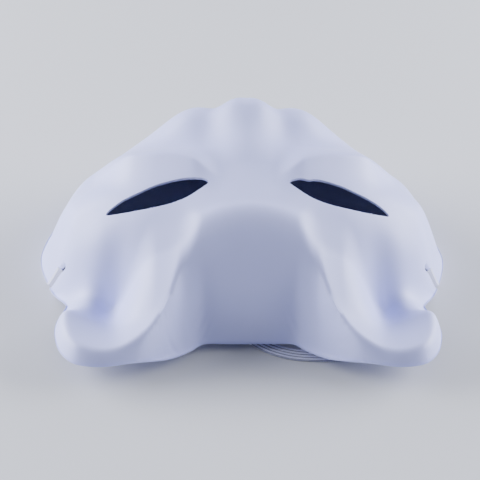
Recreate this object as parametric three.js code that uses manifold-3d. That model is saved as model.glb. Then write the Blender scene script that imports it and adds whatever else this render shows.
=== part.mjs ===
// Blank cat half mask: one thermoformed sheet with two moulded ears, and a flat elastic band.
// Millimetres. +Z is up out of the wearer's face, +X is to the right, and the ears point to -Y.
// The mask lies on its rim, face up, with the band loose on the table inside it.

import * as THREE from "three";
import Module from "manifold-3d";

// ---- Driving dimensions -------------------------------------------------------------------

const SHEET = 1.2; // thickness of the moulded sheet
const RIM_WIDTH = 1.1; // width of the flat cut edge that the mask rests on
const MID_Y = 51; // from the forehead edge, where the outline below starts, to the middle

const BAND_WIDTH = 6.4;
const BAND_THICK = 1.0;
const BAND_FLOOR = 0.1; // daylight under the band
const SLIT_WIDTH = 1.5; // cut up the sheet from the rim beside each ear, for the band's end
const SLIT_TOP = 17;
const SLIT = [[86, 43], [75.8, 36]]; // its two ends in plan, x and y as below
const TAIL_THICK = 0.8; // the band's end, folded thin where it comes out through the slit
const TAIL_PROUD = 0.7;
const DAB = { at: [77.6, 44, 1.4], radii: [4.1, 6, 4.4] }; // hot glue over the band's end

// Right half of the plan outline: x, then y from the forehead edge towards the muzzle.
const EAR_EDGE = [
  [0, 0], [10, 0], [18.5, -0.3], [24, -5], [32, -11.5], [42, -16.5], [53, -20], [62, -21],
  [71, -19], [76.6, -12.5], [79, -4], [79.2, 5], [78, 14], [75.4, 23],
];
const NOTCH_EDGE = [[75.4, 23], [79.5, 31], [83, 39]];
const CHEEK_EDGE = [
  [83, 39], [86.6, 50], [88, 60], [86, 71], [82, 82], [76.5, 92.5], [69.5, 103],
  [59, 112.5], [45, 119.5], [24, 123], [0, 123],
];

// Right eye hole: x, y as above.
const EYE = [
  [16.5, 40.6], [25.5, 43.4], [37, 44], [46, 42.8], [54, 41.2],
  [58.8, 38.5], [50, 35.8], [39.5, 34.3], [31, 34.3], [24, 36],
];

// Sections along the mask: y against the dome's half width, and y against the crown's height.
const HALF_WIDTH = [
  [-12, 30], [5, 40], [13, 50], [21, 63], [30, 75], [40, 84], [50, 89], [60, 91], [72, 88],
  [84, 82], [95, 76], [105, 70], [114, 62], [124, 50],
];
const CROWN = [
  [-12, -20], [0, 1], [8, 22], [16, 38], [24, 48], [34, 55], [48, 58.5], [62, 60],
  [78, 60], [90, 56], [98, 48], [106, 36], [114, 22], [120, 11], [126, 0],
];
// The ridge between each eye and the cheek: distance from the middle against y.
const CHEEK_RIDGE = [
  [8, 41], [15, 45], [21, 48.5], [28, 52], [35, 55], [41, 57], [49, 60], [57, 65], [70, 76],
];

// Where the band lies, from its left end to its right end: x, y as above, all flat on the table.
const BAND_ROUTE = [
  [-78, 44], [-71, 44.6], [-64, 47.6], [-58.6, 53.6], [-54, 62], [-48, 70], [-39, 74.6],
  [-29.6, 72.4], [-22.6, 64.6], [-18.4, 53.6], [-15.2, 42], [-11.6, 30], [-6.4, 19.4], [0.6, 9.6],
  [8.4, 2.4], [18, -1.8], [29, -3], [40, -2.4], [50, 0.4], [58, 6], [62.8, 14.4], [64.6, 24],
  [65.6, 33], [69.6, 40.6], [78, 44],
];

// ---- Small helpers ------------------------------------------------------------------------

const clamp01 = (t) => Math.min(Math.max(t, 0), 1);

function smoothStep(from, to, t) {
  const u = clamp01((t - from) / (to - from));
  return u * u * (3 - 2 * u);
}

function smoothMin(a, b, k) {
  const h = clamp01(0.5 + (0.5 * (b - a)) / k);
  return b * (1 - h) + a * h - k * h * (1 - h);
}

const smoothMax = (a, b, k) => -smoothMin(-a, -b, k);

// Zero for t well below 0 and t well above it, with a bend of about k between.
const ramp = (t, k) => 0.5 * (t + Math.sqrt(t * t + k * k));

const bump = (x, y, x0, y0, rx, ry) => Math.exp(-(((x - x0) / rx) ** 2) - ((y - y0) / ry) ** 2);

// Smooth curve through stations [position, value] that never overshoots them.
function stationCurve(stations, t) {
  const last = stations.length - 1;
  const slope = stations.slice(1).map(([x, v], i) => (v - stations[i][1]) / (x - stations[i][0]));
  const tangent = stations.map((_, i) => {
    if (i === 0) return slope[0];
    if (i === last) return slope[last - 1];
    const [a, b] = [slope[i - 1], slope[i]];
    return a * b > 0 ? (2 * a * b) / (a + b) : 0;
  });
  let i = 0;
  while (i < last - 1 && t > stations[i + 1][0]) i++;
  const h = stations[i + 1][0] - stations[i][0];
  const u = clamp01((t - stations[i][0]) / h);
  return (
    stations[i][1] * (1 + 2 * u) * (1 - u) ** 2 +
    tangent[i] * h * u * (1 - u) ** 2 +
    stations[i + 1][1] * u * u * (3 - 2 * u) +
    tangent[i + 1] * h * u * u * (u - 1)
  );
}

// Catmull-Rom points through an open list, or a closed one.
function splinePoints(list, perSpan, closed = false) {
  const n = list.length;
  const at = (i) => (closed ? list[(i + n) % n] : list[Math.min(Math.max(i, 0), n - 1)]);
  const spans = closed ? n : n - 1;
  const out = [];
  for (let i = 0; i < spans; i++) {
    const [p0, p1, p2, p3] = [at(i - 1), at(i), at(i + 1), at(i + 2)];
    for (let k = 0; k < perSpan; k++) {
      const t = k / perSpan;
      out.push(
        [0, 1].map(
          (c) =>
            0.5 *
            (2 * p1[c] +
              (p2[c] - p0[c]) * t +
              (2 * p0[c] - 5 * p1[c] + 4 * p2[c] - p3[c]) * t * t +
              (3 * p1[c] - p0[c] - 3 * p2[c] + p3[c]) * t ** 3),
        ),
      );
    }
  }
  if (!closed) out.push([...list[n - 1]]);
  return out;
}

// ---- The moulded surface ------------------------------------------------------------------

function halfOutline(perSpan) {
  return [
    ...splinePoints(EAR_EDGE, perSpan).slice(0, -1),
    ...splinePoints(NOTCH_EDGE, perSpan).slice(0, -1),
    ...splinePoints(CHEEK_EDGE, perSpan),
  ];
}

function fullOutline(perSpan) {
  const right = halfOutline(perSpan);
  const left = right
    .slice(1, -1)
    .reverse()
    .map(([x, y]) => [-x, y]);
  return [...right, ...left];
}

const EDGE = halfOutline(8);

function distanceToEdge(x, y) {
  const ax = Math.abs(x);
  let best = Infinity;
  for (let i = 0; i < EDGE.length - 1; i++) {
    const [ux, uy] = EDGE[i];
    const [dx, dy] = [EDGE[i + 1][0] - ux, EDGE[i + 1][1] - uy];
    const t = clamp01(((ax - ux) * dx + (y - uy) * dy) / (dx * dx + dy * dy));
    best = Math.min(best, Math.hypot(ax - ux - t * dx, y - uy - t * dy));
  }
  return best;
}

// Height of the cut edge: the ears and the forehead edge stand clear of the table.
function trimHeight(x, y) {
  const ax = Math.abs(x);
  const ears = 6.5 * smoothStep(20, 52, ax);
  const towardsNotch = 6.5 * smoothStep(-4, 23, y) * smoothStep(40, 60, ax);
  return (4.5 + ears - towardsNotch) * (1 - smoothStep(23, 38, y));
}

function faceDome(ax, y) {
  const across = clamp01(ax / stationCurve(HALF_WIDTH, y));
  const fullness = 2.2 - 0.85 * smoothStep(44, 70, y);
  return stationCurve(CROWN, y) * Math.sqrt(1 - across ** fullness);
}

// The steep forehead, whose sides run on into the front lip of each ear, and the ears.
function foreheadAndEars(ax, y) {
  const foot = -1.5 - 0.75 * ramp(ax - 19.3, 1.2);
  const slope = 43.5 / (17.3 - foot) + 0.2 * ramp(ax - 28.5, 2);
  const front = 4.5 + slope * (y - foot);
  const brow = 57.5 + 0.02 * y - 0.01 * smoothMin(ax, 45, 10) ** 2 - 2.5 * ramp(y - 56, 8);
  const nearNotch = smoothStep(2, 20, y);
  const rim = 0.17 * ramp(ax - 57, 6) * (1 - nearNotch) - 0.8 * ramp(ax - 62, 6) * nearNotch;
  const plate = 16 + 0.48 * ramp(53 - ax, 6) + 1.4 * ramp(25 - ax, 4) + rim;
  const wall = 0.6 * smoothMin(ramp(y + 4, 5), 45, 6) * (1 - smoothStep(38, 58, ax));
  return smoothMin(smoothMin(front, brow, 16), plate + wall, 5);
}

// The cup of the ear: steep against the head, with a ridge behind it, towards the temple.
function earHollow(ax, y) {
  const depth = 9 * bump(ax, y, 55.5, 16, ax < 55.5 ? 6.5 : 12, y < 16 ? 17 : 9.5);
  const across = 0.83 * (ax - 68) + 0.55 * (y - 20);
  const along = 0.83 * (y - 20) - 0.55 * (ax - 68);
  return depth - 3 * bump(across, along, 0, 0, 8, 14);
}

// The cheek's edge beyond the eye: it rises from the eye to a ridge, then dies out.
function cheekRise(ax, y) {
  const t = y - stationCurve(CHEEK_RIDGE, ax);
  const rise = clamp01(1 + t / 16) ** 2;
  const fall = Math.exp(-((Math.max(t, 0) / 15) ** 2));
  const middle = smoothStep(10, 24, ax) * (1 - smoothStep(48, 66, ax));
  return (5 + 0.12 * ramp(ax - 20, 4)) * middle * rise * fall;
}

function upperSurface(x, y) {
  const ax = Math.abs(x);
  const face = smoothMax(faceDome(ax, y), foreheadAndEars(ax, y), 6);
  const whiskerPad = 9.5 * bump(ax, y, 24, 88, 15, 14) - 3 * bump(ax, y, 60, 95, 12, 18);
  const noseWidth = 12.5 - 4 * smoothStep(78, 96, y);
  const noseTop = 9.2 * Math.exp(-((ax / noseWidth) ** 3) - ((y - 84) / 15) ** 2);
  const nose = noseTop + 3 * bump(ax, y, 0, 62, 12, 16);
  return face - earHollow(ax, y) + cheekRise(ax, y) + whiskerPad + nose;
}

// Outer face of the sheet, which turns down to its cut edge all the way round.
function outerHeight(x, y) {
  const trim = trimHeight(x, y);
  const earSide = smoothStep(60, 76, Math.abs(x)) * (1 - smoothStep(25, 45, y));
  const cheek = smoothStep(28, 50, y);
  const earRoot = 5.5 * bump(Math.abs(x), y, 30, -4, 11, 14);
  const turn = 4.5 + earRoot + 1.5 * earSide + 9.5 * cheek;
  const lift = 1 - (1 - clamp01(distanceToEdge(x, y) / turn)) ** (2.3 - 0.4 * cheek);
  return trim + (Math.max(upperSurface(x, y), trim + 1) - trim) * lift;
}

// Inner face: one sheet thickness below the outer face, measured square to it.
function innerHeight(x, y) {
  const h = 0.4;
  const gx = (outerHeight(x + h, y) - outerHeight(x - h, y)) / (2 * h);
  const gy = (outerHeight(x, y + h) - outerHeight(x, y - h)) / (2 * h);
  return Math.max(outerHeight(x, y) - SHEET * Math.hypot(gx, gy, 1), trimHeight(x, y));
}

// ---- Solids -------------------------------------------------------------------------------

const wasm = await Module();
wasm.setup();

function toManifold(positions, triangles) {
  return new wasm.Manifold(
    new wasm.Mesh({
      numProp: 3,
      vertProperties: new Float32Array(positions),
      triVerts: new Uint32Array(triangles),
    }),
  );
}

function prism(points, z0, z1) {
  const shape = new THREE.Shape(points.map(([x, y]) => new THREE.Vector2(x, y)));
  const geometry = new THREE.ExtrudeGeometry(shape, { depth: z1 - z0, bevelEnabled: false });
  geometry.translate(0, 0, z0);
  return geometryToManifold(geometry);
}

function geometryToManifold(geometry) {
  const at = (geometry.index ? geometry.toNonIndexed() : geometry).attributes.position;
  const index = new Map();
  const positions = [];
  const corner = (i) => {
    const p = [at.getX(i), at.getY(i), at.getZ(i)];
    const key = p.map((v) => Math.round(v * 1e4)).join();
    if (!index.has(key)) {
      index.set(key, positions.length / 3);
      positions.push(...p);
    }
    return index.get(key);
  };
  const triangles = [];
  for (let i = 0; i < at.count; i += 3) {
    const [a, b, c] = [corner(i), corner(i + 1), corner(i + 2)];
    if (a !== b && b !== c && c !== a) triangles.push(a, b, c);
  }
  return toManifold(positions, triangles);
}

function toGeometry(solid) {
  const mesh = solid.getMesh();
  const geometry = new THREE.BufferGeometry();
  geometry.setAttribute("position", new THREE.BufferAttribute(mesh.vertProperties, 3));
  geometry.setIndex(new THREE.BufferAttribute(mesh.triVerts, 1));
  const flat = geometry.toNonIndexed();
  flat.computeVertexNormals();
  return flat;
}

// The sheet as rings of points that shrink from the outline to its middle, above and below.
function sheetSolid() {
  const edge = fullOutline(3);
  const n = edge.length;
  const centre = [0, 50];
  const shrink = [
    0.965, 0.935, 0.9, 0.865, 0.83, 0.79, 0.745, 0.69, 0.63, 0.56, 0.48, 0.39, 0.29, 0.17,
  ];
  const inset = edge.map(([x, y], i) => {
    const [a, b] = [edge[(i + n - 1) % n], edge[(i + 1) % n]];
    const [tx, ty] = [b[0] - a[0], b[1] - a[1]];
    const length = Math.hypot(tx, ty);
    return [x - (ty / length) * RIM_WIDTH, y + (tx / length) * RIM_WIDTH];
  });
  const rings = [inset, ...shrink.map((s) => edge.map(([x, y]) => [x * s, centre[1] + (y - centre[1]) * s]))];

  const positions = [];
  const place = (x, y, z) => positions.push(x, y - MID_Y, z) / 3 - 1;
  const rim = edge.map(([x, y]) => place(x, y, trimHeight(x, y)));
  const upper = [rim, ...rings.map((ring) => ring.map(([x, y]) => place(x, y, outerHeight(x, y))))];
  const lower = [
    rim,
    ...rings.map((ring, k) =>
      ring.map(([x, y]) => place(x, y, k === 0 ? trimHeight(x, y) : innerHeight(x, y))),
    ),
  ];
  const top = place(...centre, outerHeight(...centre));
  const bottom = place(...centre, innerHeight(...centre));

  const triangles = [];
  for (let k = 0; k < upper.length - 1; k++) {
    for (let i = 0; i < n; i++) {
      const j = (i + 1) % n;
      triangles.push(upper[k][i], upper[k][j], upper[k + 1][j], upper[k][i], upper[k + 1][j], upper[k + 1][i]);
      triangles.push(lower[k][i], lower[k + 1][j], lower[k][j], lower[k][i], lower[k + 1][i], lower[k + 1][j]);
    }
  }
  const [lastUp, lastLow] = [upper.at(-1), lower.at(-1)];
  for (let i = 0; i < n; i++) {
    const j = (i + 1) % n;
    triangles.push(lastUp[i], lastUp[j], top, lastLow[j], lastLow[i], bottom);
  }
  return toManifold(positions, triangles);
}

function eyePrism(side) {
  const points = splinePoints(EYE, 4, true).map(([x, y]) => [side * x, y - MID_Y]);
  return prism(points, 10, 90);
}

// A strip of plan along the slit, from one fraction of its length to another.
function slitPrism(side, width, from, to, z0, z1) {
  const [a, b] = SLIT;
  const [dx, dy] = [b[0] - a[0], b[1] - a[1]];
  const [nx, ny] = [(-dy / Math.hypot(dx, dy)) * (width / 2), (dx / Math.hypot(dx, dy)) * (width / 2)];
  const at = (t, s) => [side * (a[0] + dx * t + nx * s), a[1] + dy * t + ny * s - MID_Y];
  const points = [at(from, -1), at(to, -1), at(to, 1), at(from, 1)];
  return prism(points, z0, z1);
}

const sheet = sheetSolid();

function maskShell() {
  let shell = sheet;
  for (const side of [-1, 1]) {
    shell = shell.subtract(eyePrism(side)).subtract(slitPrism(side, SLIT_WIDTH, 0, 1, -5, SLIT_TOP));
  }
  return shell;
}

// The band's end: it follows the sheet inside the slit and stands a little proud of it.
function bandTail(side) {
  const proud = sheet.translate([side * TAIL_PROUD, -TAIL_PROUD * 0.6, 0]);
  return proud.intersect(slitPrism(side, TAIL_THICK, 0, 1, 1.2, SLIT_TOP - 4));
}

// A dab of hot glue that sits on the band's end and fills the corner against the sheet.
function glueDab(side) {
  const ball = new THREE.SphereGeometry(1, 20, 12);
  ball.scale(...DAB.radii);
  ball.translate(side * DAB.at[0], DAB.at[1] - MID_Y, DAB.at[2]);
  const blob = geometryToManifold(ball);
  return blob.intersect(prism([[-100, -100], [100, -100], [100, 100], [-100, 100]], DAB.at[2], 20));
}

// The band: a flat section with eight sides, swept along its route on the table.
function elasticBand() {
  const z = BAND_FLOOR + BAND_THICK / 2;
  const path = new THREE.CatmullRomCurve3(
    BAND_ROUTE.map(([x, y]) => new THREE.Vector3(x, y - MID_Y, z)),
    false,
    "centripetal",
  );
  const [w, t, c] = [BAND_WIDTH / 2, BAND_THICK / 2, 0.3];
  const section = new THREE.Shape(
    [
      [-w, -t + c], [-w + c, -t], [w - c, -t], [w, -t + c],
      [w, t - c], [w - c, t], [-w + c, t], [-w, t - c],
    ].map(([across, up]) => new THREE.Vector2(up, across)),
  );
  const geometry = new THREE.ExtrudeGeometry(section, { steps: 70, extrudePath: path });
  return geometry;
}

// ---- Assembly -----------------------------------------------------------------------------

const plastic = () => new THREE.MeshStandardMaterial({ color: 0xe4e5ef, roughness: 0.42, metalness: 0 });
const knit = () => new THREE.MeshStandardMaterial({ color: 0xd9dbe6, roughness: 0.85, metalness: 0 });

const glue = () => new THREE.MeshStandardMaterial({ color: 0xe9e4d2, roughness: 0.3, metalness: 0 });

function named(name, geometry, material) {
  const mesh = new THREE.Mesh(geometry, material);
  mesh.name = name;
  return mesh;
}

const mask = new THREE.Group();
mask.name = "cat_half_mask";
mask.add(named("mask_shell", toGeometry(maskShell()), plastic()));
mask.add(named("elastic_band", elasticBand(), knit()));
for (const [label, side] of [["left", -1], ["right", 1]]) {
  mask.add(named("elastic_tail_" + label, toGeometry(bandTail(side)), knit()));
  mask.add(named("glue_dab_" + label, toGeometry(glueDab(side)), glue()));
}

export default mask;
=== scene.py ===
"""Blank cat half mask: a thin moulded sheet with two ears, and a flat elastic band loose inside it.

Metres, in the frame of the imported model: +Z out of the front of the mask, ears towards -Y.
The sheet is one height surface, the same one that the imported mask_shell follows, meshed finely.
"""

import math

import bmesh
import bpy
import numpy as np
from mathutils import Matrix, Vector
from mathutils.geometry import delaunay_2d_cdt


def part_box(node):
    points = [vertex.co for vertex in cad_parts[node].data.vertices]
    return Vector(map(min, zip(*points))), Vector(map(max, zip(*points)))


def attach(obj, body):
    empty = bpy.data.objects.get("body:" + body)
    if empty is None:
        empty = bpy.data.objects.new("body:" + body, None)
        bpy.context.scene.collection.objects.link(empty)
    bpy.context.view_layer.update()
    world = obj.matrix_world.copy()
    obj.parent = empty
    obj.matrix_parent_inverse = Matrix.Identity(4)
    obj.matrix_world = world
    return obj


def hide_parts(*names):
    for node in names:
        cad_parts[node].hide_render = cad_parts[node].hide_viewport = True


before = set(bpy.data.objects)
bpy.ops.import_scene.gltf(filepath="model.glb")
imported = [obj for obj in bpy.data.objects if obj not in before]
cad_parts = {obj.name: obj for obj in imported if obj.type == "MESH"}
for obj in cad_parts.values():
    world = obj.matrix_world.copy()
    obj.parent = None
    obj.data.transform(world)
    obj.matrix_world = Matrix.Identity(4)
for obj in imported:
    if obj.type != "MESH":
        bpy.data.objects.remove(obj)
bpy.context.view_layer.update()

bl_info = {
    "name": "Cat Half Mask",
    "version": (1, 0, 0),
    "blender": (4, 5, 0),
    "location": "3D View > Sidebar > Cat Mask",
    "description": "Builds a moulded cat half mask with its elastic band, and a studio for it",
    "category": "Object",
}

MM = 0.001
BODY = "root"
MID_Y = 51.0  # mm from the forehead edge, where the outline below starts, to the origin
SIDES = {"left": -1, "right": 1}

# Right half of the plan outline in mm: x, then y from the forehead edge towards the muzzle.
EAR_EDGE = [
    (0, 0), (10, 0), (18.5, -0.3), (24, -5), (32, -11.5), (42, -16.5), (53, -20), (62, -21),
    (71, -19), (76.6, -12.5), (79, -4), (79.2, 5), (78, 14), (75.4, 23),
]
NOTCH_EDGE = [(75.4, 23), (79.5, 31), (83, 39)]
CHEEK_EDGE = [
    (83, 39), (86.6, 50), (88, 60), (86, 71), (82, 82), (76.5, 92.5), (69.5, 103),
    (59, 112.5), (45, 119.5), (24, 123), (0, 123),
]
EYE = [
    (16.5, 40.6), (25.5, 43.4), (37, 44), (46, 42.8), (54, 41.2),
    (58.8, 38.5), (50, 35.8), (39.5, 34.3), (31, 34.3), (24, 36),
]

# Sections along the mask: y against the dome's half width, and y against the crown's height.
HALF_WIDTH = [
    (-12, 30), (5, 40), (13, 50), (21, 63), (30, 75), (40, 84), (50, 89), (60, 91), (72, 88),
    (84, 82), (95, 76), (105, 70), (114, 62), (124, 50),
]
CROWN = [
    (-12, -20), (0, 1), (8, 22), (16, 38), (24, 48), (34, 55), (48, 58.5), (62, 60),
    (78, 60), (90, 56), (98, 48), (106, 36), (114, 22), (120, 11), (126, 0),
]

# The ridge between each eye and the cheek: distance from the middle against y.
CHEEK_RIDGE = [
    (8, 41), (15, 45), (21, 48.5), (28, 52), (35, 55), (41, 57), (49, 60), (57, 65), (70, 76),
]

# The band's route on the table in mm, from its left end to its right end, and the points along it.
BAND_ROUTE = [
    (-78, 44), (-71, 44.6), (-64, 47.6), (-58.6, 53.6), (-54, 62), (-48, 70), (-39, 74.6),
    (-29.6, 72.4), (-22.6, 64.6), (-18.4, 53.6), (-15.2, 42), (-11.6, 30), (-6.4, 19.4), (0.6, 9.6),
    (8.4, 2.4), (18, -1.8), (29, -3), (40, -2.4), (50, 0.4), (58, 6), (62.8, 14.4), (64.6, 24),
    (65.6, 33), (69.6, 40.6), (78, 44),
]
BAND_POINTS = 420
BAND_MIDDLE_Z = 0.6

# The right slit in plan, from the open end inwards, and the height that it stays under.
SLIT = [(86, 43), (75.8, 36)]
SLIT_WIDTH = 1.5
SLIT_TOP = 17

# The cut round the outline: a ledge this wide, with this much of the sheet left standing.
LEDGE = 0.4
CUT_EDGE = 0.7

# Mesh rows that follow the outline and the eye holes, and how far off them the even grid starts.
# The steep walls behind the ears have a finer grid, which starts nearer to the outline.
OUTLINE_ROWS = (0.15, 0.35, 0.6, 0.9, 1.1, 1.45, 1.9, 2.5, 3.2, 4.0, 5.0, 6.2)
OUTLINE_MARGIN = 6.9
EYE_ROWS = (0.25, 0.7)
EYE_MARGIN = 1.1
WALL_SPACING = 0.6
WALL_MARGIN = 2.2

# Rings over which those walls are evened out: radius, and turn as a share of a step round.
WALL_RINGS = ((1.3, 0.0), (2.7, 0.5), (4.1, 0.0))
RING_STEPS = 8

# The studio's lights: name, place and size in metres, power in watts.
LIGHTS = [
    ("softbox_left", (-0.82, 0.20, 0.34), (0.8, 0.6), 28.5),
    ("softbox_right", (0.82, 0.20, 0.34), (0.8, 0.6), 25.4),
    ("overhead", (0.0, -0.45, 1.2), (0.9, 0.9), 3.0),
]
LIGHT_TARGET = (0, 0.01, 0.03)
LIGHT_COLOR = (0.89, 0.91, 1.0)
WORLD_COLOR = (0.80, 0.84, 1.0)
WORLD_STRENGTH = 0.10
CAMERA_TARGET = (0, 0.004, 0.030)
CAMERA_SHIFT = (-0.0115, -0.0567)


# ---- Settings -----------------------------------------------------------------------------


class SheetSettings(bpy.types.PropertyGroup):
    """The moulded sheet."""

    thickness: bpy.props.FloatProperty(
        name="Thickness", description="Thickness of the sheet", default=0.0009,
        min=0.0005, max=0.002, unit="LENGTH", precision=5,
    )
    spacing: bpy.props.FloatProperty(
        name="Mesh spacing", description="Distance between surface points, in mm",
        default=1.2, min=0.5, max=4.0,
    )
    color: bpy.props.FloatVectorProperty(
        name="Colour", description="Colour of the bare plastic", subtype="COLOR",
        size=3, min=0, max=1, default=(0.55, 0.585, 0.98),
    )
    gloss: bpy.props.FloatProperty(
        name="Roughness", description="Mean roughness of the moulded face",
        subtype="FACTOR", min=0, max=1, default=0.46,
    )


class BandSettings(bpy.types.PropertyGroup):
    """The elastic band."""

    width: bpy.props.FloatProperty(
        name="Width", description="Width of the band", default=0.0064,
        min=0.003, max=0.02, unit="LENGTH", precision=5,
    )
    thickness: bpy.props.FloatProperty(
        name="Thickness", description="Thickness over a rib", default=0.001,
        min=0.0005, max=0.003, unit="LENGTH", precision=5,
    )
    ribs: bpy.props.IntProperty(
        name="Ribs", description="Rubber cores that run along the band", default=4, min=2, max=12
    )
    color: bpy.props.FloatVectorProperty(
        name="Colour", description="Colour of the yarn", subtype="COLOR",
        size=3, min=0, max=1, default=(0.70, 0.72, 0.96),
    )


class StageSettings(bpy.types.PropertyGroup):
    """The studio."""

    elevation: bpy.props.FloatProperty(
        name="Elevation", description="Camera height over the table",
        default=math.radians(38.0), subtype="ANGLE",
    )
    azimuth: bpy.props.FloatProperty(
        name="Azimuth", description="Camera turned round the mask, to its left when negative",
        default=math.radians(-3.7), subtype="ANGLE",
    )
    roll: bpy.props.FloatProperty(
        name="Roll", description="Camera tilt in its own plane",
        default=math.radians(2.5), subtype="ANGLE",
    )
    distance: bpy.props.FloatProperty(
        name="Distance", description="Camera to mask", default=0.8, unit="LENGTH"
    )
    lens: bpy.props.FloatProperty(
        name="Lens", description="Focal length on a 36 mm sensor", default=140.8, unit="CAMERA"
    )
    floor_color: bpy.props.FloatVectorProperty(
        name="Floor", description="Colour of the floor", subtype="COLOR",
        size=3, min=0, max=1, default=(0.62, 0.63, 0.66),
    )


# ---- The moulded surface, in mm, for whole arrays of points ----------------------------------


def smooth_step(start, end, t):
    u = np.clip((t - start) / (end - start), 0, 1)
    return u * u * (3 - 2 * u)


def smooth_min(a, b, k):
    h = np.clip(0.5 + 0.5 * (b - a) / k, 0, 1)
    return b * (1 - h) + a * h - k * h * (1 - h)


def smooth_max(a, b, k):
    return -smooth_min(-a, -b, k)


def ramp(t, k):
    return 0.5 * (t + np.sqrt(t * t + k * k))


def bump(x, y, x0, y0, rx, ry):
    return np.exp(-(((x - x0) / rx) ** 2) - ((y - y0) / ry) ** 2)


def station_curve(stations, t):
    """Smooth curve through stations (position, value) that never overshoots them."""
    xs, vs = np.array(stations, float).T
    step = np.diff(vs) / np.diff(xs)
    tangent = np.zeros_like(vs)
    tangent[0], tangent[-1] = step[0], step[-1]
    for i in range(1, len(vs) - 1):
        if step[i - 1] * step[i] > 0:
            tangent[i] = 2 * step[i - 1] * step[i] / (step[i - 1] + step[i])
    i = np.clip(np.searchsorted(xs, t) - 1, 0, len(xs) - 2)
    h = xs[i + 1] - xs[i]
    u = np.clip((t - xs[i]) / h, 0, 1)
    return (
        vs[i] * (1 + 2 * u) * (1 - u) ** 2
        + tangent[i] * h * u * (1 - u) ** 2
        + vs[i + 1] * u * u * (3 - 2 * u)
        + tangent[i + 1] * h * u * u * (u - 1)
    )


def spline(points, per_span, closed=False):
    """Catmull-Rom points through an open list, or a closed one."""
    p = np.array(points, float)
    n = len(p)
    out = []
    for i in range(n if closed else n - 1):
        if closed:
            p0, p1, p2, p3 = (p[(i + k) % n] for k in (-1, 0, 1, 2))
        else:
            p0, p1, p2, p3 = (p[min(max(i + k, 0), n - 1)] for k in (-1, 0, 1, 2))
        for t in np.arange(per_span) / per_span:
            out.append(
                0.5
                * (
                    2 * p1
                    + (p2 - p0) * t
                    + (2 * p0 - 5 * p1 + 4 * p2 - p3) * t * t
                    + (3 * p1 - p0 - 3 * p2 + p3) * t**3
                )
            )
    if not closed:
        out.append(p[-1])
    return np.array(out)


def half_outline(per_span):
    parts = [spline(e, per_span) for e in (EAR_EDGE, NOTCH_EDGE, CHEEK_EDGE)]
    return np.vstack([parts[0][:-1], parts[1][:-1], parts[2]])


EDGE = half_outline(8)


def line_distance(line, x, y):
    """Distance from each point to an open line of straight steps."""
    best = np.full(np.shape(x), 1e9)
    for (ux, uy), (vx, vy) in zip(line[:-1], line[1:]):
        dx, dy = vx - ux, vy - uy
        t = np.clip(((x - ux) * dx + (y - uy) * dy) / (dx * dx + dy * dy + 1e-12), 0, 1)
        best = np.minimum(best, np.hypot(x - ux - t * dx, y - uy - t * dy))
    return best


def edge_distance(x, y):
    return line_distance(EDGE, np.abs(x), y)


def trim_height(x, y):
    ax = np.abs(x)
    ears = 6.5 * smooth_step(20, 52, ax)
    towards_notch = 6.5 * smooth_step(-4, 23, y) * smooth_step(40, 60, ax)
    return (4.5 + ears - towards_notch) * (1 - smooth_step(23, 38, y))


def face_dome(ax, y):
    across = np.clip(ax / station_curve(HALF_WIDTH, y), 0, 1)
    fullness = 2.2 - 0.85 * smooth_step(44, 70, y)
    return station_curve(CROWN, y) * np.sqrt(1 - across**fullness)


def forehead_and_ears(ax, y):
    """The steep forehead, whose sides run on into the front lip of each ear, and the ears."""
    foot = -1.5 - 0.75 * ramp(ax - 19.3, 1.2)
    slope = 43.5 / (17.3 - foot) + 0.2 * ramp(ax - 28.5, 2)
    front = 4.5 + slope * (y - foot)
    brow = 57.5 + 0.02 * y - 0.01 * smooth_min(ax, 45, 10) ** 2 - 2.5 * ramp(y - 56, 8)
    near_notch = smooth_step(2, 20, y)
    rim = 0.17 * ramp(ax - 57, 6) * (1 - near_notch) - 0.8 * ramp(ax - 62, 6) * near_notch
    plate = 16 + 0.48 * ramp(53 - ax, 6) + 1.4 * ramp(25 - ax, 4) + rim
    wall = 0.6 * smooth_min(ramp(y + 4, 5), 45, 6) * (1 - smooth_step(38, 58, ax))
    return smooth_min(smooth_min(front, brow, 16), plate + wall, 5)


def ear_hollow(ax, y):
    """The cup of the ear: steep against the head, with a ridge behind it, towards the temple."""
    cup = np.exp(-(((y - 16) / np.where(y < 16, 17, 9.5)) ** 2))
    cup = 9 * cup * np.exp(-(((ax - 55.5) / np.where(ax < 55.5, 6.5, 12)) ** 2))
    across, along = 0.83 * (ax - 68) + 0.55 * (y - 20), 0.83 * (y - 20) - 0.55 * (ax - 68)
    return cup - 3 * np.exp(-((across / 8) ** 2) - (along / 14) ** 2)


def cheek_rise(ax, y):
    """The cheek's edge beyond the eye: it rises from the eye to a ridge, then dies out."""
    t = y - station_curve(CHEEK_RIDGE, ax)
    rise = np.clip(1 + t / 16, 0, 1) ** 2
    fall = np.exp(-((np.maximum(t, 0) / 15) ** 2))
    height = (5 + 0.12 * ramp(ax - 20, 4)) * smooth_step(10, 24, ax) * (1 - smooth_step(48, 66, ax))
    return height * rise * fall


def upper_surface(x, y):
    ax = np.abs(x)
    face = smooth_max(face_dome(ax, y), forehead_and_ears(ax, y), 6)
    whisker_pad = 9.5 * bump(ax, y, 24, 88, 15, 14) - 3 * bump(ax, y, 60, 95, 12, 18)
    nose_width = 12.5 - 4 * smooth_step(78, 96, y)
    nose_top = 9.2 * np.exp(-((ax / nose_width) ** 3) - ((y - 84) / 15) ** 2)
    nose = nose_top + 3 * bump(ax, y, 0, 62, 12, 16)
    return face - ear_hollow(ax, y) + cheek_rise(ax, y) + whisker_pad + nose


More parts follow.
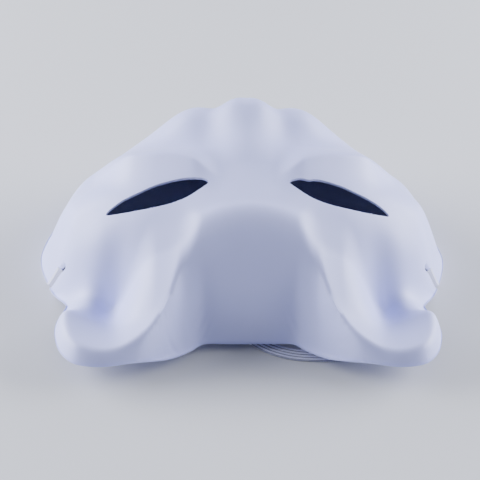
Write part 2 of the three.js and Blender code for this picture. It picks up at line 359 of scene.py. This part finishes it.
def outer_height(x, y):
    trim = trim_height(x, y)
    ear_side = smooth_step(60, 76, np.abs(x)) * (1 - smooth_step(25, 45, y))
    cheek = smooth_step(28, 50, y)
    ear_root = 5.5 * bump(np.abs(x), y, 30, -4, 11, 14)
    turn = 4.5 + ear_root + 1.5 * ear_side + 9.5 * cheek
    lift = 1 - (1 - np.clip(edge_distance(x, y) / turn, 0, 1)) ** (2.3 - 0.4 * cheek)
    return trim + (np.maximum(upper_surface(x, y), trim + 1) - trim) * lift


def near_wall(x, y):
    """1 on the steep wall between each ear and the temple, 0 away from it."""
    return smooth_step(0.10, 0.42, bump(np.abs(x), y, 69.5, 25, 14, 14))


def soft_height(x, y):
    """The outer height, evened out within 4 mm on that wall, as a warm sheet bridges a tight bend."""
    height = outer_height(x, y)
    amount = near_wall(x, y) * np.clip((edge_distance(x, y) - 0.4) / 3, 0, 1)
    near = amount > 0
    px, py = x[near], y[near]
    total = height[near].copy()
    for radius, turn in WALL_RINGS:
        for k in range(RING_STEPS):
            a = 2 * math.pi * (k + turn) / RING_STEPS
            total += outer_height(px + radius * math.cos(a), py + radius * math.sin(a))
    mean = total / (1 + RING_STEPS * len(WALL_RINGS))
    height[near] += amount[near] * (mean - height[near])
    return height


def slopes(x, y, h=0.4):
    gx = (soft_height(x + h, y) - soft_height(x - h, y)) / (2 * h)
    gy = (soft_height(x, y + h) - soft_height(x, y - h)) / (2 * h)
    return gx, gy


def handling_marks(x, y):
    """Slight waves and dents of a thin sheet, and small creases where the forehead meets the ears."""
    wave = 0.10 * np.sin(x / 17.0 + 1.3) * np.sin(y / 13.0) + 0.05 * np.sin(x / 7.1 + y / 9.3)
    ax = np.abs(x)
    crumple = 0.5 * bump(ax, y, 19.5, 2.8, 3.4, 1.7) * np.sin(2.1 * ax + 2.6 * y)
    dent = 0.5 * bump(x, y, -31.5, -7.5, 2.2, 0.8)
    swell = 1.5 * bump(ax, y, 64, 18, 6, 7)
    return (wave + swell) * np.clip(edge_distance(x, y) / 6, 0, 1) + crumple - dent


# ---- Meshes --------------------------------------------------------------------------------


def new_object(name, vertices, faces, material, sharp=None):
    """Mesh object from points in mm, whose y is measured from the forehead edge."""
    v = np.array(vertices, float)
    v[:, 1] -= MID_Y
    mesh = bpy.data.meshes.new(name)
    mesh.from_pydata((v * MM).tolist(), [], [list(map(int, f)) for f in faces])
    mesh.polygons.foreach_set("use_smooth", [True] * len(mesh.polygons))
    if sharp:
        mesh.set_sharp_from_angle(angle=math.radians(sharp))
    mesh.materials.append(material)
    obj = bpy.data.objects.new(name, mesh)
    bpy.context.scene.collection.objects.link(obj)
    return obj


def closed_loop(points, spacing):
    """The closed line through points, with a point at each spacing."""
    p = np.vstack([points, points[:1]])
    along = np.concatenate([[0], np.cumsum(np.hypot(*np.diff(p, axis=0).T))])
    n = max(8, int(along[-1] / spacing))
    at = np.linspace(0, along[-1], n, endpoint=False)
    return np.column_stack([np.interp(at, along, p[:, c]) for c in (0, 1)])


def inside(loop, x, y):
    hit = np.zeros(x.shape, bool)
    for (ux, uy), (vx, vy) in zip(loop, np.roll(loop, -1, axis=0)):
        if uy != vy:
            hit ^= ((uy > y) != (vy > y)) & (x < (vx - ux) * (y - uy) / (vy - uy) + ux)
    return hit


def loop_distance(loop, x, y):
    return line_distance(np.vstack([loop, loop[:1]]), x, y)


def inset_loop(loop, depth):
    """The loop's points moved square to it, towards its left."""
    a, b = np.roll(loop, 1, axis=0), np.roll(loop, -1, axis=0)
    t = b - a
    t /= np.hypot(*t.T)[:, None]
    return loop + depth * np.column_stack([-t[:, 1], t[:, 0]])


def sheet_outline():
    """The whole outline as one loop, before the slits are cut."""
    right = half_outline(8)
    left = right[1:-1][::-1] * [-1, 1]
    return np.vstack([right, left])


def slit_loop(side):
    a, b = np.array(SLIT, float)
    along = (b - a) / np.hypot(*(b - a))
    across = np.array([-along[1], along[0]]) * SLIT_WIDTH / 2
    return np.array([a - across, b - across, b + across, a + across]) * [side, 1]


def eye_loop(side):
    """The cut of an eye hole, slightly ragged as a knife leaves it, with a burr in the right one."""
    loop = closed_loop(spline(EYE, 12, closed=True), 0.45)
    n = np.arange(len(loop))
    ragged = 0.05 * np.sin(2.1 * n + side) + 0.05 * np.sin(0.83 * n * n + 2 * side)
    if side > 0:
        x, y = loop.T
        burr = 0.6 * np.exp(-(((x - 24.5) / 2.3) ** 2)) * (y > 42)
        teeth = 0.22 * np.exp(-(((x - 51) / 2.2) ** 2)) * np.sin(4.4 * x) * (y < 39)
        ragged = ragged - burr + teeth
    return (loop + ragged[:, None] * (inset_loop(loop, 1.0) - loop)) * [side, 1]


def sheet_points(settings, outline, eyes):
    """Points of the plan: rows that follow each cut edge, then an even grid between them."""
    rows = [outline]
    for depth in OUTLINE_ROWS:
        row = inset_loop(outline, depth)
        keep = edge_distance(*row.T) > 0.93 * depth
        rows.append(row[keep & ((depth < 2) | (near_wall(*row.T) < 0.5))])
    for loop in eyes:
        right_is_inside = inside(loop, *inset_loop(loop, -0.05).T[:, :1])[0]
        for depth in EYE_ROWS:
            rows.append(inset_loop(loop, depth if right_is_inside else -depth))
    grids = ((settings.spacing, False, OUTLINE_MARGIN), (WALL_SPACING, True, WALL_MARGIN))
    for spacing, on_wall, margin in grids:
        gx, gy = np.meshgrid(np.arange(-90, 90, spacing), np.arange(-22, 124, spacing * 0.866))
        gx = (gx + (np.arange(len(gx)) % 2)[:, None] * spacing / 2).ravel()
        gy = gy.ravel()
        keep = inside(outline, gx, gy) & (edge_distance(gx, gy) > margin)
        keep &= (near_wall(gx, gy) >= 0.5) == on_wall
        for loop in eyes:
            keep &= ~inside(loop, gx, gy) & (loop_distance(loop, gx, gy) > EYE_MARGIN)
        rows.append(np.column_stack([gx[keep], gy[keep]]))
    return rows


def open_edges(triangles):
    """Edges of a flat mesh that only one triangle uses, in that triangle's direction."""
    used = {}
    for a, b, c in triangles:
        used.update({(a, b): None, (b, c): None, (c, a): None})
    return [(a, b) for a, b in used if (b, a) not in used]


def build_sheet(settings):
    """Points and faces of the whole sheet: its outside, its inside and the cut edges between."""
    outline = closed_loop(sheet_outline(), 0.8)
    eyes = [eye_loop(side) for side in SIDES.values()]
    rows = sheet_points(settings, outline, eyes)
    points = [Vector(p) for p in np.vstack([rows[0], *eyes, *rows[1:]])]
    edges, start = [], 0
    for loop in (rows[0], *eyes):
        n = len(loop)
        edges += [(start + i, start + (i + 1) % n) for i in range(n)]
        start += n
    verts, _, faces, *_ = delaunay_2d_cdt(points, edges, [], 0, 1e-5)
    xy = np.array([tuple(v) for v in verts])
    tri = np.array([f for f in faces if len(f) == 3])
    mid = xy[tri].mean(axis=1)
    keep = inside(outline, mid[:, 0], mid[:, 1])
    for loop in eyes:
        keep &= ~inside(loop, mid[:, 0], mid[:, 1])
    tri = tri[keep]
    e1, e2 = xy[tri[:, 1]] - xy[tri[:, 0]], xy[tri[:, 2]] - xy[tri[:, 0]]
    flip = e1[:, 0] * e2[:, 1] - e1[:, 1] * e2[:, 0] < 0
    tri[flip] = tri[flip][:, ::-1]

    x, y = xy.T
    trim = trim_height(x, y)
    from_edge = edge_distance(x, y)
    gx, gy = slopes(x, y)
    steep = np.sqrt(gx * gx + gy * gy + 1)
    marks = handling_marks(x, y)
    top = soft_height(x, y) + marks
    low = np.maximum(top - settings.thickness / MM * steep, trim)
    ledge = from_edge < LEDGE
    top[ledge] = np.minimum(top, trim + CUT_EDGE)[ledge]
    top[from_edge < 0.02] = trim[from_edge < 0.02] + CUT_EDGE
    low[ledge] = trim[ledge]
    n = len(xy)
    vertices = np.vstack([np.column_stack([x, y, top]), np.column_stack([x, y, low])])
    lower = np.arange(n) + n
    faces = [tuple(t) for t in tri] + [tuple(lower[t][::-1]) for t in tri]
    faces += [(b, a, lower[a], lower[b]) for a, b in open_edges(tri)]
    return vertices, faces


def drop_loose(obj):
    bm = bmesh.new()
    bm.from_mesh(obj.data)
    bmesh.ops.delete(bm, geom=[v for v in bm.verts if not v.link_faces], context="VERTS")
    bm.to_mesh(obj.data)
    bm.free()


def close_up(obj):
    """Joins points that coincide, and turns every face outwards."""
    bm = bmesh.new()
    bm.from_mesh(obj.data)
    bmesh.ops.remove_doubles(bm, verts=bm.verts, dist=1e-6)
    bmesh.ops.recalc_face_normals(bm, faces=bm.faces)
    bm.to_mesh(obj.data)
    bm.free()


def prism_object(name, loop, z0, z1):
    """A plain upright prism, as a cutter, from a plan loop in mm."""
    n = len(loop)
    vertices = [(x, y, z) for z in (z0, z1) for x, y in loop]
    faces = [tuple(range(n))[::-1], tuple(range(n, 2 * n))]
    faces += [(i, (i + 1) % n, n + (i + 1) % n, n + i) for i in range(n)]
    obj = new_object(name, vertices, faces, bpy.data.materials.new(name))
    close_up(obj)
    return obj


def cut(obj, cutter):
    """Takes the cutter out of the object, and throws the cutter away."""
    modifier = obj.modifiers.new("cut", "BOOLEAN")
    modifier.operation = "DIFFERENCE"
    modifier.solver = "EXACT"
    modifier.object = cutter
    depsgraph = bpy.context.evaluated_depsgraph_get()
    mesh = bpy.data.meshes.new_from_object(obj.evaluated_get(depsgraph))
    obj.modifiers.remove(modifier)
    obj.data = mesh
    bpy.data.objects.remove(cutter)


# ---- Materials -----------------------------------------------------------------------------


class Nodes:
    """Short calls for building a node material."""

    def __init__(self, name):
        self.material = bpy.data.materials.new(name)
        self.material.use_nodes = True
        self.tree = self.material.node_tree
        self.shader = self.tree.nodes["Principled BSDF"]
        self.coords = self.add("ShaderNodeTexCoord").outputs["Object"]

    def add(self, kind, **values):
        node = self.tree.nodes.new(kind)
        for key, value in values.items():
            setattr(node, key, value)
        return node

    def link(self, source, socket):
        self.tree.links.new(source, socket)

    def noise(self, scale, detail=4, roughness=0.5, vector=None):
        node = self.add("ShaderNodeTexNoise")
        node.inputs["Scale"].default_value = scale
        node.inputs["Detail"].default_value = detail
        node.inputs["Roughness"].default_value = roughness
        self.link(vector or self.coords, node.inputs["Vector"])
        return node.outputs["Fac"]

    def fit(self, source, low, high, to_low, to_high):
        node = self.add("ShaderNodeMapRange")
        for socket, value in zip(node.inputs[1:5], (low, high, to_low, to_high)):
            socket.default_value = value
        self.link(source, node.inputs["Value"])
        return node.outputs["Result"]

    def mix(self, factor, a, b):
        node = self.add("ShaderNodeMix", data_type="RGBA")
        node.inputs[6].default_value = (*a, 1)
        node.inputs[7].default_value = (*b, 1)
        self.link(factor, node.inputs["Factor"])
        return node.outputs[2]

    def bumps(self, *layers):
        """Bump layers (height, strength, distance in metres), one on another."""
        normal = None
        for height, strength, distance in layers:
            node = self.add("ShaderNodeBump")
            node.inputs["Strength"].default_value = strength
            node.inputs["Distance"].default_value = distance
            self.link(height, node.inputs["Height"])
            if normal:
                self.link(normal, node.inputs["Normal"])
            normal = node.outputs["Normal"]
        self.link(normal, self.shader.inputs["Normal"])


def plastic_material(settings):
    m = Nodes("moulded_plastic")
    color = tuple(settings.color)
    patchy = m.fit(m.noise(22, 3), 0.35, 0.65, 0, 1)
    dull = tuple(c * k for c, k in zip(color, (0.955, 0.955, 0.965)))
    m.link(m.mix(patchy, color, dull), m.shader.inputs["Base Color"])
    m.link(
        m.fit(m.noise(160, 6, 0.6), 0.3, 0.7, settings.gloss - 0.05, settings.gloss + 0.07),
        m.shader.inputs["Roughness"],
    )
    m.shader.inputs["IOR"].default_value = 1.46
    m.shader.inputs["Subsurface Weight"].default_value = 0.08
    m.shader.inputs["Subsurface Radius"].default_value = (1.0, 1.0, 1.1)
    m.shader.inputs["Subsurface Scale"].default_value = 0.0012
    m.bumps((m.noise(2600, 3), 0.05, 0.00005), (m.noise(420, 2), 0.04, 0.00012))
    return m.material


def elastic_material(settings, name="ribbed_elastic", shade=1.0):
    m = Nodes(name)
    # shade scales the yarn colour; below 1 it is painted shade, as used for the grooves between ribs.
    color = tuple(c * shade for c in settings.color)
    stitch = m.add("ShaderNodeTexWave", wave_type="BANDS", bands_direction="DIAGONAL")
    stitch.inputs["Scale"].default_value = 620
    stitch.inputs["Distortion"].default_value = 2.5
    m.link(m.coords, stitch.inputs["Vector"])
    fuzz = m.noise(2400, 4)
    dark = tuple(c * 0.72 for c in color)
    m.link(m.mix(stitch.outputs["Fac"], dark, color), m.shader.inputs["Base Color"])
    m.link(m.fit(fuzz, 0.3, 0.7, 0.78, 0.95), m.shader.inputs["Roughness"])
    m.shader.inputs["Sheen Weight"].default_value = 0.25
    m.bumps((stitch.outputs["Fac"], 0.5, 0.00012), (fuzz, 0.4, 0.00008))
    return m.material


def glue_material():
    m = Nodes("hot_glue")
    cloudy = m.fit(m.noise(300, 4), 0.35, 0.65, 0, 1)
    m.link(m.mix(cloudy, (0.74, 0.72, 0.62), (0.83, 0.81, 0.74)), m.shader.inputs["Base Color"])
    m.link(m.fit(m.noise(900, 2), 0.3, 0.7, 0.22, 0.36), m.shader.inputs["Roughness"])
    m.shader.inputs["Subsurface Weight"].default_value = 0.35
    m.shader.inputs["Subsurface Radius"].default_value = (1.0, 0.9, 0.7)
    m.shader.inputs["Subsurface Scale"].default_value = 0.002
    m.bumps((m.noise(500, 3), 0.25, 0.0002))
    return m.material


def floor_material(color):
    m = Nodes("studio_floor")
    tint = m.fit(m.noise(3, 2), 0.3, 0.7, 0, 1)
    m.link(m.mix(tint, tuple(color), tuple(c * 0.985 for c in color)), m.shader.inputs["Base Color"])
    m.shader.inputs["Roughness"].default_value = 0.5
    m.bumps((m.noise(900, 2), 0.03, 0.0001))
    return m.material


# ---- Operators -----------------------------------------------------------------------------


class MASK_OT_stage(bpy.types.Operator):
    """Floor, soft lights and camera"""

    bl_idname = "cat_mask.stage"
    bl_label = "Build the studio"

    def execute(self, context):
        s = context.scene.cat_mask_stage
        self.floor(s)
        self.lights(context.scene)
        self.camera(context.scene, s)
        return {"FINISHED"}

    def floor(self, s):
        size, back, bend = 2.4, 1.5, 0.5
        profile = [(-size, 0.0), (back, 0.0)]
        for i in range(1, 13):
            a = math.radians(90 * i / 12)
            profile.append((back + bend * math.sin(a), bend * (1 - math.cos(a))))
        profile.append((back + bend, 2.6))
        vertices = [(x, y, z) for y, z in profile for x in (-size, size)]
        faces = [(2 * i, 2 * i + 1, 2 * i + 3, 2 * i + 2) for i in range(len(profile) - 1)]
        mesh = bpy.data.meshes.new("studio_floor")
        mesh.from_pydata(vertices, [], faces)
        mesh.materials.append(floor_material(s.floor_color))
        mesh.polygons.foreach_set("use_smooth", [True] * len(faces))
        obj = bpy.data.objects.new("studio_floor", mesh)
        bpy.context.scene.collection.objects.link(obj)

    def lights(self, scene):
        target = Vector(LIGHT_TARGET)
        for name, place, size, power in LIGHTS:
            light = bpy.data.lights.new(name, "AREA")
            light.shape = "RECTANGLE"
            light.size, light.size_y = size
            light.energy = power
            light.color = LIGHT_COLOR
            obj = bpy.data.objects.new(name, light)
            obj.location = place
            obj.rotation_euler = (target - Vector(place)).to_track_quat("-Z", "Y").to_euler()
            scene.collection.objects.link(obj)
        world = bpy.data.worlds.new("studio_world")
        world.use_nodes = True
        background = world.node_tree.nodes["Background"]
        background.inputs["Color"].default_value = (*WORLD_COLOR, 1)
        background.inputs["Strength"].default_value = WORLD_STRENGTH
        scene.world = world

    def camera(self, scene, s):
        """Looks at the mask from its ears, turned and tilted a little."""
        back = Vector(
            (
                math.sin(s.azimuth) * math.cos(s.elevation),
                -math.cos(s.azimuth) * math.cos(s.elevation),
                math.sin(s.elevation),
            )
        )
        side = (-back).cross(Vector((0, 0, 1))).normalized()
        up = side.cross(-back)
        turned = math.cos(s.roll) * side + math.sin(s.roll) * up
        upright = math.cos(s.roll) * up - math.sin(s.roll) * side
        data = bpy.data.cameras.new("camera")
        data.lens = s.lens
        data.sensor_width = 36
        data.shift_x, data.shift_y = CAMERA_SHIFT
        data.clip_start = 0.01
        camera = bpy.data.objects.new("camera", data)
        axes = Matrix((turned, upright, back)).transposed()
        place = Vector(CAMERA_TARGET) + s.distance * back
        camera.matrix_world = Matrix.Translation(place) @ axes.to_4x4()
        scene.collection.objects.link(camera)
        scene.camera = camera


def band_line():
    """The band's centre line in mm, evenly spaced."""
    fine = spline(BAND_ROUTE, 24)
    along = np.concatenate([[0], np.cumsum(np.hypot(*np.diff(fine, axis=0).T))])
    at = np.linspace(0, along[-1], BAND_POINTS)
    return np.column_stack([np.interp(at, along, fine[:, c]) for c in (0, 1)]), along[-1]


def band_section(width, thickness, ribs):
    """Closed section, across and up, with a round rib over each rubber core."""
    n = ribs * 12
    u = np.linspace(-1, 1, n + 1)
    swell = np.abs(np.sin((u + 1) / 2 * ribs * math.pi)) ** 0.7
    half = thickness / 2 * (0.42 + 0.58 * swell)
    half[0] = half[-1] = thickness * 0.2
    across = u * width / 2
    top = np.column_stack([across, half])
    under = np.column_stack([across[::-1], -half[::-1]])
    return np.vstack([top, under])


def sweep(line, section):
    """Points and faces of a solid with this section all along a flat line."""
    tangent = np.gradient(line, axis=0)
    tangent /= np.hypot(*tangent.T)[:, None]
    across = np.column_stack([tangent[:, 1], -tangent[:, 0]])
    m, n = len(line), len(section)
    vertices = np.zeros((m, n, 3))
    vertices[:, :, :2] = line[:, None] + across[:, None] * section[None, :, :1]
    vertices[:, :, 2] = BAND_MIDDLE_Z + section[None, :, 1]
    faces = [
        (i * n + j, i * n + (j + 1) % n, (i + 1) * n + (j + 1) % n, (i + 1) * n + j)
        for i in range(m - 1)
        for j in range(n)
    ]
    faces += [tuple(range(n))[::-1], tuple(range((m - 1) * n, m * n))]
    return vertices.reshape(-1, 3), faces


def in_groove(section_points, ribs):
    """Whether each side of the section lies down in a groove, between two ribs."""
    half = section_points // 2
    swell = np.abs(np.sin((np.arange(half - 1) + 0.5) / (half - 1) * ribs * math.pi))
    low = swell < 0.42
    return np.concatenate([low, [False], low[::-1], [False]])


class MASK_OT_band(bpy.types.Operator):
    """The flat ribbed elastic, loose on the table from one side of the mask to the other"""

    bl_idname = "cat_mask.band"
    bl_label = "Build the elastic band"

    def execute(self, context):
        s = context.scene.cat_mask_band
        line, length = band_line()
        section = band_section(s.width / MM, s.thickness / MM, s.ribs)
        material = elastic_material(s)
        band = new_object("elastic_band_ribbed", *sweep(line, section), material, 60)
        # The faces down in the grooves get the yarn colour at about a third of its brightness:
        # painted shade between the ribs.
        band.data.materials.append(elastic_material(s, "elastic_groove_painted_shade", 0.34))
        painted_shade_faces = in_groove(len(section), s.ribs)
        for i in range((len(line) - 1) * len(section)):
            band.data.polygons[i].material_index = int(painted_shade_faces[i % len(section)])
        close_up(band)
        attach(band, BODY)
        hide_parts("elastic_band")
        for label in SIDES:
            node = bpy.data.objects["elastic_tail_" + label]
            node.material_slots[0].material = material
        return {"FINISHED"}


class MASK_OT_sheet(bpy.types.Operator):
    """The moulded sheet: face, ears, eye holes and the slits for the band"""

    bl_idname = "cat_mask.sheet"
    bl_label = "Build the moulded sheet"

    def execute(self, context):
        s = context.scene.cat_mask_sheet
        vertices, faces = build_sheet(s)
        sheet = new_object("moulded_sheet", vertices, faces, plastic_material(s))
        drop_loose(sheet)
        for label, side in SIDES.items():
            cut(sheet, prism_object("slit_" + label, slit_loop(side), -5, SLIT_TOP))
        sheet.data.polygons.foreach_set("use_smooth", [True] * len(sheet.data.polygons))
        sheet.data.set_sharp_from_angle(angle=math.radians(50))
        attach(sheet, BODY)
        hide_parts("mask_shell")
        return {"FINISHED"}


class MASK_OT_glue(bpy.types.Operator):
    """The dabs of hot glue that hold the band's ends"""

    bl_idname = "cat_mask.glue"
    bl_label = "Build the glue dabs"

    def execute(self, context):
        material = glue_material()
        for label in SIDES:
            low, high = (np.array(c) / MM + (0, MID_Y, 0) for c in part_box("glue_dab_" + label))
            dab = self.dab("hot_glue_" + label, low, high, material)
            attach(dab, BODY)
            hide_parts("glue_dab_" + label)
        return {"FINISHED"}

    def dab(self, name, low, high, material):
        """A low blob with a wandering edge and a drawn-out peak, inside its box in mm."""
        rings, spokes = 18, 48
        centre, half = (low + high) / 2, (high - low) / 2
        vertices = [(centre[0], centre[1], low[2])]
        for i in range(1, rings + 1):
            for j in range(spokes):
                a = 2 * math.pi * j / spokes
                edge = 0.9 + 0.06 * math.sin(3 * a + 1) + 0.04 * math.sin(5 * a)
                lat = math.pi / 2 * (i / rings)
                r = math.cos(lat) * edge
                lumpy = 1 - 0.08 * math.sin(2 * a + 3 * lat) ** 2
                vertices.append(
                    (
                        centre[0] + half[0] * r * math.cos(a),
                        centre[1] + half[1] * r * math.sin(a),
                        low[2] + 2 * half[2] * math.sin(lat) * lumpy,
                    )
                )
        faces = []
        for j in range(spokes):
            k = (j + 1) % spokes
            faces.append((0, 1 + k, 1 + j))
            for i in range(rings - 1):
                a, b = 1 + i * spokes, 1 + (i + 1) * spokes
                faces.append((a + j, a + k, b + k, b + j))
        obj = new_object(name, vertices, faces, material)
        close_up(obj)
        return obj


class VIEW3D_PT_cat_mask(bpy.types.Panel):
    """Sizes, colours and build steps of the mask"""

    bl_label = "Cat Mask"
    bl_space_type = "VIEW_3D"
    bl_region_type = "UI"
    bl_category = "Cat Mask"

    def draw(self, context):
        for group, operator in STEPS:
            box = self.layout.box()
            if group:
                settings = getattr(context.scene, group)
                for name in settings.__annotations__:
                    box.prop(settings, name)
            box.operator(operator)


STEPS = [
    ("cat_mask_stage", "cat_mask.stage"),
    ("cat_mask_band", "cat_mask.band"),
    ("cat_mask_sheet", "cat_mask.sheet"),
    (None, "cat_mask.glue"),
]
GROUPS = {
    "cat_mask_stage": StageSettings,
    "cat_mask_band": BandSettings,
    "cat_mask_sheet": SheetSettings,
}
CLASSES = [*GROUPS.values(), MASK_OT_stage, MASK_OT_band, MASK_OT_sheet, MASK_OT_glue]
CLASSES.append(VIEW3D_PT_cat_mask)


def register():
    for cls in CLASSES:
        bpy.utils.register_class(cls)
    for name, group in GROUPS.items():
        setattr(bpy.types.Scene, name, bpy.props.PointerProperty(type=group))


def unregister():
    for name in GROUPS:
        delattr(bpy.types.Scene, name)
    for cls in reversed(CLASSES):
        bpy.utils.unregister_class(cls)


def main():
    register()
    for _, operator in STEPS:
        family, name = operator.split(".")
        getattr(getattr(bpy.ops, family), name)()


if __name__ == "__main__":
    main()
